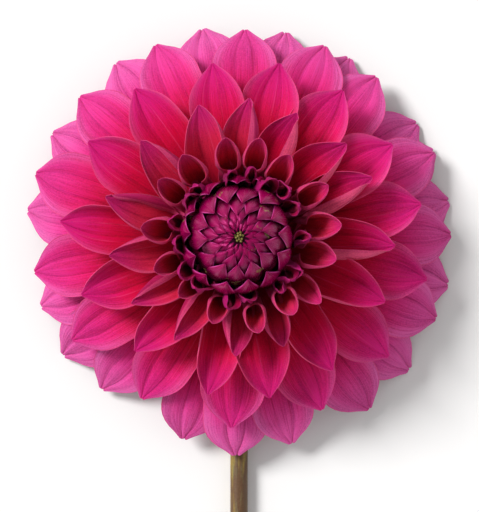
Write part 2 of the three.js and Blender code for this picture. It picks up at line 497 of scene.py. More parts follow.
@dataclass(frozen=True)
class TableFinish:
    """Plain pale table."""

    name: str = "pale_table"
    body: Colour = (0.93, 0.93, 0.93)

    def make(self) -> bpy.types.Material:
        """Builds the material."""
        inputs = {"Base Color": self.body, "Roughness": 0.9, "Specular IOR Level": 0.1}
        return Recipe.of(self.name).finish(inputs)


# ---------------------------------------------------------------- blanks and thin pieces


@dataclass
class Blank:
    """A flat square blank, marked out once and copied for each piece formed from it."""

    cells_across: int
    cells_along: int
    name: str = "blank"
    mesh: bpy.types.Mesh = field(init=False)
    across: np.ndarray = field(init=False)
    along: np.ndarray = field(init=False)

    def __post_init__(self) -> None:
        """Adds the blank and reads where its points lie."""
        bpy.ops.object.select_all(action="DESELECT")
        bpy.ops.mesh.primitive_grid_add(
            x_subdivisions=self.cells_across, y_subdivisions=self.cells_along, size=2.0
        )
        made = bpy.context.object
        self.mesh = made.data
        self.mesh.name = self.name
        flat = np.array([v.co for v in self.mesh.vertices])
        shape = (self.cells_along + 1, self.cells_across + 1)
        self.across = flat[:, 0].reshape(shape)
        self.along = (flat[:, 1].reshape(shape) + 1.0) / 2.0
        bpy.data.objects.remove(made)

    def copy(self, name: str, points: np.ndarray) -> bpy.types.Object:
        """Forms one piece from the blank.

        Args:
            name: Name of the piece.
            points: Where each point of the blank goes, in metres.

        Returns:
            The new piece, with its own mesh.
        """
        mesh = self.mesh.copy()
        mesh.name = name
        mesh.vertices.foreach_set("co", points.reshape(-1).astype(np.float32))
        mesh.update()
        piece = bpy.data.objects.new(name, mesh)
        bpy.context.collection.objects.link(piece)
        return piece


def choose(piece: bpy.types.Object) -> None:
    """Makes a piece the only one that operators act on.

    Args:
        piece: The piece.
    """
    bpy.ops.object.select_all(action="DESELECT")
    piece.select_set(True)
    bpy.context.view_layer.objects.active = piece


def mark(piece: bpy.types.Object, name: str, values: np.ndarray | float) -> None:
    """Writes one number on each point of a piece.

    Args:
        piece: The piece.
        name: Name that materials read the number by.
        values: A number for each point, or one for all.
    """
    attribute = piece.data.attributes.new(name, "FLOAT", "POINT")
    count = len(piece.data.vertices)
    attribute.data.foreach_set("value", np.broadcast_to(values, count).astype(np.float32).copy())


def settle(piece: bpy.types.Object, material: bpy.types.Material, slot: Slot, *nodes: str) -> None:
    """Dresses a finished piece and fixes it to the flower.

    Args:
        piece: The piece.
        material: Its material.
        slot: The record's slot that it takes its finish from.
        nodes: CAD nodes that it stands for.
    """
    piece.data.materials.clear()
    piece.data.materials.append(material)
    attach(piece, "root")
    if nodes:
        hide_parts(*nodes)
    log.info("%s: %d faces, slot %s", piece.name, len(piece.data.polygons), slot.value)


@dataclass
class ThinPiece:
    """A thin plant part with two faces and a rim, thickened from one formed blank."""

    name: str
    blank: Blank
    thickness: float
    rim_share: float = 0.35  # what is left of the thickness at the rim
    rim_from: float = 0.8  # place on the blank where the thinning starts
    sharp: float = math.radians(50.0)
    map_half: float = 0.24  # half the width of one face on the map
    map_edge: float = 0.004
    map_next: float = 0.488  # from the first face on the map to the second
    map_strip: float = 0.99  # where the rim's strip starts
    map_strip_width: float = 0.009
    map_length: float = 0.99
    map_foot: float = 0.005

    def build(self, points: np.ndarray, marks: dict[str, Any]) -> bpy.types.Object:
        """Forms, thickens and marks the piece.

        Args:
            points: Where each point of the blank goes, in metres.
            marks: Numbers for the materials to read, by name.

        Returns:
            The piece.
        """
        piece = self.blank.copy(self.name, points)
        choose(piece)
        shell = piece.modifiers.new("thickness", "SOLIDIFY")
        shell.thickness = self.thickness
        shell.offset = 0.0
        bpy.ops.object.modifier_apply(modifier=shell.name)
        self._thin_rim(piece)
        self._lay_out(piece)
        count = self.blank.across.size
        mark(piece, "across", np.tile(self.blank.across.ravel(), 2))
        mark(piece, "along", np.tile(self.blank.along.ravel(), 2))
        mark(piece, "side", np.repeat([0.0, 1.0], count))
        for name, value in marks.items():
            mark(piece, name, value)
        bpy.ops.object.shade_smooth_by_angle(angle=self.sharp)
        return piece

    def _thin_rim(self, piece: bpy.types.Object) -> None:
        """Draws the two faces together towards the rim.

        Args:
            piece: The thickened piece.
        """
        count = self.blank.across.size
        co = np.empty(count * 6, np.float32)
        piece.data.vertices.foreach_get("co", co)
        faces = co.reshape(2, count, 3)
        middle = faces.mean(axis=0)
        edge = np.maximum(np.abs(self.blank.across), self.blank.along).ravel()
        share = 1.0 - (1.0 - self.rim_share) * smooth(edge, self.rim_from, 1.0)
        faces = middle + (faces - middle) * share[None, :, None]
        piece.data.vertices.foreach_set("co", faces.reshape(-1).astype(np.float32))
        piece.data.update()

    def _lay_out(self, piece: bpy.types.Object) -> None:
        """Lays the two faces side by side in the piece's own map, with the rim in a strip.

        Args:
            piece: The thickened piece.
        """
        mesh = piece.data
        count = self.blank.across.size
        cells = self.blank.cells_across * self.blank.cells_along
        drop_maps(mesh)
        layer = mesh.uv_layers.new(name="OFBake")
        points = np.empty(len(mesh.loops), np.int32)
        mesh.loops.foreach_get("vertex_index", points)
        u = (self.blank.across.ravel()[points % count] + 1.0) * self.map_half + self.map_edge
        v = self.blank.along.ravel()[points % count] * self.map_length + self.map_foot
        back = points >= count
        place = np.stack([np.where(back, u + self.map_next, u), v], axis=1)
        quads = points.reshape(-1, 4)
        rims = range(2 * cells, len(quads))
        for step, quad in enumerate(rims):
            front = [p for p in quads[quad] if p < count]
            for corner in range(4):
                point = quads[quad][corner]
                end = (step + (point % count == front[-1])) / len(rims)
                aside = self.map_strip + self.map_strip_width * (point >= count)
                place[quad * 4 + corner] = (aside, end)
        layer.data.foreach_set("uv", place.reshape(-1).astype(np.float32))


# ---------------------------------------------------------------- plan of the bloom


@dataclass(frozen=True)
class Section:
    """Cross-section of a floret or bract where it is widest, and its outline."""

    width: float  # flat width, in metres
    curl: float  # half the angle that the section turns through, in radians
    lip: float = 0.0  # extra curl of the margin, in radians
    claw: float = 0.3  # place along the piece where it has opened from its tube
    point: float = 1.8  # roundness of the tip: 1 is straight-sided
    mouth: float = 0.0  # share by which a rolled section springs open at its mouth


@dataclass(frozen=True)
class Stage:
    """How far open a floret is, at one age of the spiral: 0 is outermost, 1 innermost."""

    age: float
    reach: float  # tip's distance from the axis, as a share of the bloom's radius
    rise: float  # tip's height, as a share of the bloom's height
    knee: float  # distance of the bend from the axis, as a share of the tip's
    arch: float  # rise of the bend above the seat, in metres
    section: Section


STAGES = (
    Stage(0.00, 1.020, 0.006, 0.59, 0.0050, Section(0.0190, -0.08, 0.00, 0.34, 3.0)),
    Stage(0.20, 1.010, 0.070, 0.53, 0.0064, Section(0.0192, 0.10, 0.00, 0.34, 2.9)),
    Stage(0.34, 0.990, 0.200, 0.49, 0.0074, Section(0.0194, 0.28, 0.05, 0.34, 2.7)),
    Stage(0.37, 0.910, 0.260, 0.48, 0.0076, Section(0.0194, 0.42, 0.10, 0.35, 2.5)),
    Stage(0.42, 0.895, 0.310, 0.47, 0.0078, Section(0.0194, 0.50, 0.20, 0.36, 2.4)),
    Stage(0.44, 0.845, 0.360, 0.47, 0.0080, Section(0.0194, 0.62, 0.35, 0.36, 2.4)),
    Stage(0.54, 0.830, 0.430, 0.46, 0.0084, Section(0.0194, 0.74, 0.55, 0.38, 2.3)),
    Stage(0.57, 0.780, 0.480, 0.46, 0.0086, Section(0.0194, 0.84, 0.80, 0.38, 2.2)),
    Stage(0.61, 0.735, 0.520, 0.46, 0.0088, Section(0.0196, 0.92, 1.15, 0.40, 2.1)),
    Stage(0.65, 0.655, 0.570, 0.46, 0.0092, Section(0.0198, 1.02, 1.70, 0.42, 2.0)),
    Stage(0.765, 0.640, 0.650, 0.48, 0.0098, Section(0.0198, 1.20, 1.85, 0.45, 1.9)),
    Stage(0.79, 0.530, 0.710, 0.60, 0.0102, Section(0.0192, 2.00, 0.70, 0.50, 1.9, 0.10)),
    Stage(0.815, 0.465, 0.780, 0.76, 0.0106, Section(0.0192, 2.95, 0.00, 0.58, 1.9, 0.32)),
    Stage(1.00, 0.450, 0.890, 0.86, 0.0112, Section(0.0186, 3.08, 0.00, 0.60, 1.9, 0.34)),
)


def stage_at(age: float) -> Stage:
    """Blends the listed stages for one age.

    Args:
        age: Place in the spiral, from 0 at the outside to 1.

    Returns:
        The stage at that age.
    """
    rows = np.array([(s.age, s.reach, s.rise, s.knee, s.arch, *astuple(s.section)) for s in STAGES])
    blended = [float(np.interp(age, rows[:, 0], column)) for column in rows.T]
    return Stage(*blended[:5], Section(*blended[5:]))


@dataclass(frozen=True)
class Plan:
    """Where the parts of the bloom are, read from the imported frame."""

    axis: Vector
    radius: float
    height: float
    bud_radius: float
    seat_radius: float
    seat_rim: float
    seat_rise: float
    stem_radius: float

    seat_share: float = 0.655  # share of the receptacle's height that is over its rim
    florets: int = 73
    separate: int = 49  # florets with a CAD node of their own
    open: int = 31  # florets that lie open; the rest are cupped or rolled
    step: float = math.radians(24.79)
    first: float = math.radians(-403.4)
    crowding: float = math.radians(6.1)
    crowding_angle: float = math.radians(34.3)
    first_seat: float = math.radians(4.0)
    last_seat: float = math.radians(46.0)
    stem_angle: float = math.radians(270.0)
    stem_spread: float = math.radians(34.0)
    late_angle: float = math.radians(228.0)
    late_spread: float = math.radians(34.0)
    late_share: float = 0.15
    stem_gap: float = 0.0004
    clearance: float = 0.0003  # least height of a floret over what it lies on

    @classmethod
    def read(cls) -> "Plan":
        """Reads the plan from the boxes of the CAD nodes.

        Returns:
            The plan.
        """
        bud_low, bud_high = (Vector(c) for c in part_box("bud"))
        seat_low, seat_high = (Vector(c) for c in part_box("receptacle"))
        stem_low, stem_high = (Vector(c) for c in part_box("stem"))
        floret_low = Vector(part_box("floret_01")[0])
        axis = (seat_low + seat_high) / 2.0
        rise = cls.seat_share * (seat_high.z - seat_low.z)
        return cls(
            axis=Vector((axis.x, axis.y, 0.0)),
            radius=(cad_high.x - cad_low.x) / 2.0,
            height=bud_high.z - min(floret_low.z, stem_low.z),
            bud_radius=(bud_high.x - bud_low.x) / 2.0,
            seat_radius=(seat_high.x - seat_low.x) / 2.0,
            seat_rim=seat_high.z - rise,
            seat_rise=rise,
            stem_radius=(stem_high.x - stem_low.x) / 2.0,
        )

    def angle(self, index: float) -> float:
        """Angle of a floret about the bloom's axis."""
        turn = self.first + self.step * index
        return turn + self.crowding * math.cos(turn + self.crowding_angle)

    def near(self, angle: float, centre: float, spread: float) -> float:
        """How near an angle is to a direction, from 0 at spread to 1."""
        away = abs(math.remainder(angle - centre, math.tau))
        return float(1.0 - smooth(away, 0.0, spread))

    def table_under(self, points: np.ndarray) -> np.ndarray:
        """Finds the height of the table, or of the stem that lies on it.

        Args:
            points: Points in metres.

        Returns:
            Height under each point.
        """
        aside = np.abs(points[..., 0] - self.axis.x)
        spread = self.stem_radius + self.stem_gap
        round_top = self.stem_radius + np.sqrt(np.clip(spread**2 - aside**2, 0.0, None))
        over = (aside < spread) & (points[..., 1] < self.axis.y - 2.0 * self.stem_radius)
        return np.where(over, round_top, 0.0)

    def late(self, angle: float) -> float:
        """How much later the florets at an angle opened than the rest, from 0 to 1."""
        away = math.remainder(angle - self.late_angle, math.tau)
        return float(bump(away, 0.0, self.late_spread))


@dataclass
class FloretForm:
    """The folded surface of one ray floret."""

    plan: Plan
    angle: float
    start: tuple[float, float]
    bend: tuple[float, float]
    tip: tuple[float, float]
    section: Section
    roll: float = 0.0
    sway: float = 0.0
    crease: float = 0.0003
    ripple: float = 0.0003
    phase: float = 0.0
    twist: float = 0.0
    base_curl: float = 2.4
    claw_share: float = 0.34
    taper: float = 0.0115  # length over which the outline draws in to the tip
    blunt: float = 0.0002
    notch: float = 0.0
    funnel: float = 1.0  # how late along the floret it widens
    peak: float = 0.0  # how sharply the tip folds along its middle
    hem: float = 0.0  # extra curl of both margins, in radians
    right_lip: tuple[float, float] = (0.34, 0.80)  # from where to where across it curls
    left_lip: tuple[float, float] = (0.60, 1.0)
    left_share: float = 0.25  # the left lip's curl, as a share of the right one's
    hem_band: tuple[float, float] = (0.70, 1.0)
    tip_fade: tuple[float, float] = (1.0, 0.93)  # lips and hems end just short of the tip

    def outline(self, along: np.ndarray) -> np.ndarray:
        """Half the flat width of the floret.

        Args:
            along: Places along it, from 0 at the seat to 1 at the tip.

        Returns:
            Half its width at each place, in metres.
        """
        widest = 1.0 - self.taper / self.length()
        opening = np.sin(np.pi / 2.0 * np.clip(along / widest, 0.0, 1.0)) ** self.funnel
        rise = self.claw_share + (1.0 - self.claw_share) * opening
        past = np.clip((along - widest) / (1.0 - widest), 0.0, 1.0)
        half = self.section.width / 2.0
        return np.maximum(half * rise * (1.0 - past**self.section.point), self.blunt)

    def length(self) -> float:
        """Length of the middle line."""
        place, _ = self.spine(np.linspace(0.0, 1.0, 30))
        return float(np.linalg.norm(np.diff(place, axis=0), axis=1).sum())

    def spine(self, along: np.ndarray) -> tuple[np.ndarray, np.ndarray]:
        """Follows the middle line.

        Args:
            along: Places along it, from 0 at the seat to 1 at the tip.

        Returns:
            Radius and height at each place, and the line's direction there.
        """
        p0, p1, p2 = (np.array(p) for p in (self.start, self.bend, self.tip))
        s = along[..., None]
        place = (1 - s) ** 2 * p0 + 2 * s * (1 - s) * p1 + s**2 * p2
        slope = 2 * (1 - s) * (p1 - p0) + 2 * s * (p2 - p1)
        return place, slope / np.linalg.norm(slope, axis=-1, keepdims=True)

    def surface(self, across: np.ndarray, along: np.ndarray) -> np.ndarray:
        """Places the points of a blank on the floret.

        Args:
            across: Place across the blank, from -1 to 1, by row.
            along: Place along the blank, from 0 at the seat to 1 at the tip, by row.

        Returns:
            Points in metres.
        """
        half = self.outline(along)
        opened = smooth(along, 0.04, self.section.claw)
        widest = self.section.width / 2.0
        mouth = 1.0 - self.taper / self.length()
        spring = 1.0 - self.section.mouth * smooth(along, mouth - 0.04, mouth + 0.12)
        turn = self.base_curl * (1 - opened) + self.section.curl * opened * spring * half / widest
        fade = smooth(along, *self.tip_fade)
        lip = self.section.lip * smooth(along, 0.25, 0.5) * fade
        hem = self.hem * smooth(along, 0.3, 0.5) * fade
        right, left = smooth(across, *self.right_lip), smooth(-across, *self.left_lip)
        bent = np.sign(across) * np.abs(across) ** (1.0 - self.peak * smooth(along, 0.55, 0.95))
        psi = turn * bent + lip * right - self.left_share * lip * left
        psi = psi + hem * (smooth(across, *self.hem_band) - smooth(-across, *self.hem_band))
        step = np.diff(across, axis=1) * half[:, 1:]
        mid = (psi[:, 1:] + psi[:, :-1]) / 2.0
        side = np.concatenate([np.zeros((len(psi), 1)), np.cumsum(np.cos(mid) * step, 1)], 1)
        lift = np.concatenate([np.zeros((len(psi), 1)), np.cumsum(np.sin(mid) * step, 1)], 1)
        centre = psi.shape[1] // 2
        side -= side[:, centre : centre + 1]
        lift -= lift[:, centre : centre + 1]
        fold = self._folds(across, along)
        side = side - np.sin(psi) * fold
        lift = lift + np.cos(psi) * fold
        place, slope = self.spine(along)
        out = np.array([math.cos(self.angle), math.sin(self.angle), 0.0])
        across_dir = np.array([math.sin(self.angle), -math.cos(self.angle), 0.0])
        up = np.array([0.0, 0.0, 1.0])
        normal = -slope[..., 1:2] * out + slope[..., 0:1] * up
        tilt = (self.roll + self.twist * (along - 0.5))[..., None]
        wide = across_dir * np.cos(tilt) + normal * np.sin(tilt)
        high = normal * np.cos(tilt) - across_dir * np.sin(tilt)
        drift = (self.sway * along**2)[..., None] * across_dir
        middle = place[..., 0:1] * out + place[..., 1:2] * up + drift
        dent = self.notch * bump(across, -0.28, 0.22) * smooth(along, 0.7, 1.0)
        dent = dent[..., None] * slope[..., 0:1]
        points = np.array(self.plan.axis) + middle + side[..., None] * wide + lift[..., None] * high
        points = points - dent * out
        floor = self.plan.table_under(points) + self.plan.clearance
        points[..., 2] = np.maximum(points[..., 2], floor)
        return points

    def _folds(self, across: np.ndarray, along: np.ndarray) -> np.ndarray:
        """Shapes the lengthwise creases and the ripple of the margins.

        Args:
            across: Place across the blank, from -1 to 1, by row.
            along: Place along the blank, from 0 to 1, by row.

        Returns:
            Height over the smooth surface, in metres.
        """
        reach = smooth(along, 0.1, 0.4) * (1.0 - 0.55 * smooth(along, 0.8, 1.0))
        creases = bump(across, -0.30, 0.075) + bump(across, 0.27, 0.075)
        keel = bump(across, 0.0, 0.10)
        crown = bump(across, -0.62, 0.2) + bump(across, 0.60, 0.2)
        wave = np.sin(along * 15.0 + self.phase + across) * np.abs(across) ** 3
        folds = self.crease * (0.45 * crown + 0.25 * keel - creases) * reach
        return folds + self.ripple * wave * smooth(along, 0.3, 0.6) * smooth(along, 1.0, 0.85)


# ---------------------------------------------------------------- parts of the flower


@dataclass
class RayFlorets:
    """The open, cupped and rolled ray florets, in one spiral."""

    plan: Plan
    rng: np.random.Generator
    thickness: float = 0.00042
    # age, angle in degrees and neighbour of the outer florets that stand off the spiral
    strays: tuple[tuple[float, float, int], ...] = (
        (0.03, 269.0, 12), (0.06, 22.0, 3), (0.04, 213.5, 10),
    )
    stand: float = 0.001  # height of a floret's foot over the receptacle
    furthest: float = 1.03  # most that a tip may reach, as a share of the bloom's radius
    stem_lift: float = 0.0065  # rise of the outermost tips over the stem
    rolling: tuple[float, float] = (0.765, 0.825)  # ages between which florets roll up
    cupping: tuple[float, float] = (0.50, 0.66)
    blank: Blank = field(default_factory=lambda: Blank(28, 38, "floret_blank"))

    def form(self, age: float, angle: float) -> FloretForm:
        """Works out the form of one floret.

        Args:
            age: Its place in the spiral, from 0 at the outside to 1.
            angle: Its direction from the bloom's axis.

        Returns:
            The form.
        """
        plan = self.plan
        stage = stage_at(age)
        jitter = self.rng.normal(0.0, 1.0, 8)
        angle = angle + math.radians(1.2) * jitter[0]
        late = plan.late(angle)
        reach = stage.reach * (1.0 - plan.late_share * late * age**0.7) + 0.008 * jitter[1]
        seat = min(plan.first_seat + (plan.last_seat - plan.first_seat) * age, plan.last_seat)
        start = (
            (plan.seat_radius + self.stand) * math.cos(seat),
            plan.seat_rim + (plan.seat_rise + self.stand) * math.sin(seat),
        )
        tip_radius = plan.radius * min(reach, self.furthest)
        over_stem = plan.near(angle, plan.stem_angle, plan.stem_spread)
        lift = self.stem_lift * over_stem * (1.0 - age) ** 2
        tip_height = plan.height * stage.rise + lift + 0.0006 * abs(jitter[2])
        bend = (tip_radius * stage.knee, start[1] + stage.arch)
        section = replace(
            stage.section,
            width=stage.section.width * (1.0 - 0.22 * late * age) * (1.0 + 0.03 * jitter[3]),
            curl=stage.section.curl * (1.0 + 0.04 * jitter[4]),
            lip=stage.section.lip * (1.0 + 0.35 * jitter[5]),
        )
        old = 1.0 - age
        rolled, cupped = float(smooth(age, *self.rolling)), float(smooth(age, *self.cupping))
        return FloretForm(
            plan, angle, start, bend, (tip_radius, tip_height), section,
            roll=math.radians(3.0) + math.radians(2.5) * jitter[6],
            sway=0.0010 * jitter[7], phase=2.0 * jitter[0],
            crease=0.00028 + 0.00035 * old**2 + 0.00006 * jitter[1],
            blunt=0.0002 + 0.0012 * old**2, notch=0.0005 * old**2,
            base_curl=2.4 + 0.6 * rolled, funnel=1.0 + 2.0 * rolled,
            claw_share=0.34 - 0.12 * rolled, peak=0.22 * cupped + 0.22 * rolled,
            hem=0.3 * cupped + 0.7 * rolled,
        )

    def build(self) -> None:
        """Builds every floret."""
        skins = {
            Slot.OUTER: PetalFinish("outer_floret_skin", sheen=0.08).make(),
            Slot.CUPPED: PetalFinish(
                "cupped_floret_skin", back=(0.86, 0.10, 0.21), rim_from=0.90,
            ).make(),
            Slot.ROLLED: PetalFinish(
                "rolled_floret_skin", margin=(0.80, 0.09, 0.24), back=(0.40, 0.006, 0.09),
                throat_and_shade=(0.58, 0.006, 0.042), body=(0.76, 0.024, 0.088), rim_from=0.78,
            ).make(),
        }
        last = self.plan.florets - 1
        places = [(i / last, self.plan.angle(i), i) for i in range(self.plan.florets)]
        places += [(age, math.radians(angle), beside) for age, angle, beside in self.strays]
        for number, (age, angle, index) in enumerate(places):
            form = self.form(age, angle)
            piece = ThinPiece(f"ray_floret_{number + 1:02d}", self.blank, self.thickness).build(
                form.surface(self.blank.across, self.blank.along),
                {"age": age, "tone": float(self.rng.uniform(-1.0, 1.0))},
            )
            if index < self.plan.separate:
                node = f"floret_{index + 1:02d}"
                slot = Slot.OUTER if index < self.plan.open else Slot.CUPPED
            else:
                node, slot = "heart_florets", Slot.ROLLED
            settle(piece, skins[slot], slot, node)
        log.info("%d ray florets", len(places))


@dataclass
class YoungFlorets:
    """Small half-open florets, crumpled against the edge of the bud."""

    plan: Plan
    rng: np.random.Generator
    count: int = 17
    thickness: float = 0.0004
    width: float = 0.0106
    wander: float = math.radians(5.0)
    lean: float = math.radians(25.0)
    wring: float = math.radians(70.0)
    blank: Blank = field(default_factory=lambda: Blank(18, 22, "young_blank"))

    def build(self) -> None:
        """Builds every young floret."""
        skin = PetalFinish(
            "young_floret_skin", body=(0.42, 0.001, 0.06), tip=(0.44, 0.004, 0.15),
            back=(0.46, 0.006, 0.16), old_back=(0.46, 0.006, 0.16), margin=(0.66, 0.05, 0.28),
            throat_and_shade=(0.22, 0.001, 0.035), blush=(0.45, 0.01, 0.2),
        ).make()
        plan = self.plan
        for number in range(self.count):
            jitter = self.rng.normal(0.0, 1.0, 7)
            angle = math.tau * number / self.count + self.wander * jitter[0]
            folded = number % 2
            tip_radius = plan.bud_radius * (1.20 - 0.07 * folded) + 0.0008 * jitter[1]
            tip_height = plan.height * (0.865 + 0.02 * folded) + 0.0010 * jitter[2]
            start = (plan.bud_radius * 0.72, plan.height * 0.50)
            bend = (plan.bud_radius * 1.20, plan.height * 0.70)
            width = self.width + 0.0012 * jitter[3]
            section = Section(width, 2.9 - 0.9 * folded, 0.6, 0.72, 1.35, 0.3)
            form = FloretForm(
                plan, angle, start, bend, (tip_radius, tip_height), section,
                roll=self.lean * jitter[5], twist=self.wring * jitter[6],
                crease=0.0009, ripple=0.0006, phase=2.0 * jitter[3], claw_share=0.6, taper=0.009,
            )
            piece = ThinPiece(f"young_floret_{number + 1:02d}", self.blank, self.thickness).build(
                form.surface(self.blank.across, self.blank.along),
                {"age": 1.0, "tone": float(self.rng.uniform(-1.0, 1.0))},
            )
            settle(piece, skin, Slot.ROLLED, "bud")
        log.info("%d young florets", self.count)


@dataclass
class Bud:
    """Unopened florets folded over the middle like tiles, on a core that is painted nearly black as
    the shade between them.
    """

    plan: Plan
    rng: np.random.Generator
    scales: int = 74
    per_turn: float = 13.5
    closing: float = 0.645  # what a turn of the spiral leaves of the tips' distance
    thickness: float = 0.0005
    girth: float = 0.0168
    crown: float = 0.0158
    first_tip: float = 0.0157  # distance of the outermost tips from the axis
    dimple: float = 0.0012
    dimple_width: float = 0.0035
    headroom: float = 0.0012  # from the dome's own skin to the top of the scales on it
    full_width: float = 0.004  # half width of a scale that has the full relief
    cushion: float = 0.0007
    shingle: tuple[float, float] = (0.0033, 0.0014)  # rise of the tip, and sink of the foot
    keel: float = 0.0007
    first_turn: float = math.radians(40.0)
    green_points: int = 12
    green_spacing: float = 0.00043
    blank: Blank = field(default_factory=lambda: Blank(10, 12, "scale_blank"))

    def skin(self, theta: np.ndarray | float, over: np.ndarray | float) -> tuple:
        """Point of the dome at an angle from its pole, raised along its normal.

        Args:
            theta: Angle from the pole.
            over: Height above the dome's own skin.

        Returns:
            Radius and height of the point.
        """
        sine, cosine = np.sin(theta), np.cos(theta)
        normal = np.stack([sine / self.girth, cosine / self.crown])
        normal = normal / np.linalg.norm(normal, axis=0)
        low = self.plan.height - self.crown - self.headroom
        radius = self.girth * sine + normal[0] * over
        sink = self.dimple * bump(self.girth * sine, 0.0, self.dimple_width)
        return radius, low + self.crown * cosine + normal[1] * over - sink

    def surface(self, number: int) -> np.ndarray:
        """Places the blank on one scale, its tip towards the axis and over the scales within.

        Args:
            number: Place of the scale in the spiral, from 0 at the outside.

        Returns:
            Points in metres.
        """
        turns = number / self.per_turn
        across, along = self.blank.across, self.blank.along
        jitter = self.rng.normal(0.0, 1.0, 5)
        tip = self.first_tip * self.closing**turns * (1.0 + 0.03 * jitter[0])
        angle = self.first_turn + math.tau * turns + 0.03 * jitter[1]
        tip_theta = math.asin(min(tip / self.girth, 1.0))
        length = 0.9 * tip_theta + 0.14
        theta = tip_theta + length * (1.0 - along)
        pitch = math.tau / self.per_turn
        middle = min(tip_theta + 0.5 * length, math.pi / 2)
        widest = self.girth * math.sin(middle) * pitch * 0.56
        past = np.clip((along - 0.45) / 0.55, 0.0, 1.0)
        foot = 0.75 + 0.25 * np.sin(np.pi * along / 0.9)
        outline = np.where(along < 0.45, foot, 1.0 - past**1.25)
        half = np.maximum(widest * outline, 0.00012)
        size = max(widest / self.full_width, 0.3)
        swell = np.sin(np.pi * np.clip(along, 0.04, 1.0)) ** 0.6
        cushion = self.cushion * size * (1.0 - across**2) * swell
        shingle = size * (self.shingle[0] * along**1.6 - self.shingle[1])
        keel = self.keel * size * (1.0 - np.abs(across - 0.10 * jitter[2]))
        keel = keel * smooth(along, 0.1, 0.5)
        over = cushion + shingle + keel + 0.0002 * jitter[3]
        radius, height = self.skin(theta, over)
        swirl = angle + (0.10 + 0.06 * jitter[4]) * (along - 0.6)
        side = across * half
        return np.array(self.plan.axis) + np.stack([
            radius * np.cos(swirl) - side * np.sin(swirl),
            radius * np.sin(swirl) + side * np.cos(swirl),
            height,
        ], axis=-1)

    def build(self) -> None:
        """Builds the core, its scales and the green middle."""
        scale_skin = BudFinish().make()
        # the core shows only between the scales; its nearly black colour is painted shade
        core_skin = BudFinish(
            "bud_core_skin", body=(0.06, 0.0005, 0.012), crest_highlight=(0.08, 0.001, 0.02),
            fleck=(0.03, 0.02, 0.004),
        ).make()
        dome = [self.skin(t, -0.0022) for t in np.linspace(0.0, 1.9, 16)]
        dome[0] = (0.0, dome[0][1])
        foot = self.plan.height * 0.42
        waist = [
            (self.girth * 0.62, self.plan.height * 0.58), (self.girth * 0.34, foot), (0.0, foot),
        ]
        core = turned("bud_core", self.plan.axis, dome + waist, 48)
        settle(core, core_skin, Slot.BUD, "bud")
        for number in range(self.scales):
            thickness = self.thickness * (1.0 - 0.6 * number / self.scales)
            piece = ThinPiece(f"bud_scale_{number + 1:02d}", self.blank, thickness).build(
                self.surface(number), {"age": 1.0, "tone": float(self.rng.uniform(-1.0, 1.0))}
            )
            settle(piece, scale_skin, Slot.BUD, "bud")
        self._green_heart()
        log.info("bud with %d scales", self.scales)

    def _green_heart(self) -> None:
        """Builds the cluster of tiny green points in the dimple."""
        green = LeafFinish("bud_heart_skin", (0.20, 0.16, 0.035), (0.42, 0.36, 0.09),
                           (0.14, 0.11, 0.02)).make()
        peak = float(self.skin(0.0, 0.0)[1])
        for number in range(self.green_points):
            jitter = self.rng.normal(0.0, 1.0, 3)
            turn = number * GOLDEN_TURN
            away = self.green_spacing * math.sqrt(number)
            foot = self.plan.axis + Vector((away * math.cos(turn), away * math.sin(turn), 0.0))
            top = peak + 0.0009 + 0.0003 * jitter[0] - 0.2 * away
            profile = [(0.0, top), (0.00026, top - 0.00014), (0.00040, top - 0.0006),
                       (0.00044, top - 0.0024), (0.0, top - 0.0026)]
            piece = turned(f"green_point_{number + 1}", foot, profile, 10)
            settle(piece, green, Slot.BUD, "bud")


def turned(
    name: str, axis: Vector, profile: Sequence[tuple[float, float]], around: int
) -> bpy.types.Object:
    """Turns a profile about an upright axis.

    Args:
        name: Name of the piece.
        axis: A point on the axis.
        profile: Radius and height of each point, from the top of the axis to its foot.
        around: Number of steps round the axis.

    Returns:
        The piece, closed where the profile meets the axis.
    """
    blank = Blank(around, len(profile) - 1, name)
    radius = np.array([p[0] for p in profile])[:, None]
    height = np.array([p[1] for p in profile])[:, None]
    turn = blank.across * np.pi
    level = np.broadcast_to(height, turn.shape)
    points = np.stack([radius * np.cos(turn), -radius * np.sin(turn), level], -1)
    piece = blank.copy(name, points + np.array(axis))
    mark(piece, "across", 0.0)
    mark(piece, "along", blank.along.ravel())
    mark(piece, "tone", 0.3)
    close(piece)
    return piece


def drop_maps(mesh: bpy.types.Mesh) -> None:
    """Removes the maps that a mesh took over from its blank."""
    while mesh.uv_layers:
        mesh.uv_layers.remove(mesh.uv_layers[0])


def close(piece: bpy.types.Object) -> None:
    """Joins the seam and poles of a rolled blank and points its faces outwards.

    Args:
        piece: The rolled blank.
    """
    choose(piece)
    bpy.ops.object.mode_set(mode="EDIT")
    bpy.ops.mesh.select_all(action="SELECT")
    bpy.ops.mesh.remove_doubles(threshold=JOIN)
    bpy.ops.mesh.normals_make_consistent(inside=False)
    bpy.ops.object.mode_set(mode="OBJECT")
    drop_maps(piece.data)
    bpy.ops.object.shade_smooth_by_angle(angle=SOFT_EDGE)


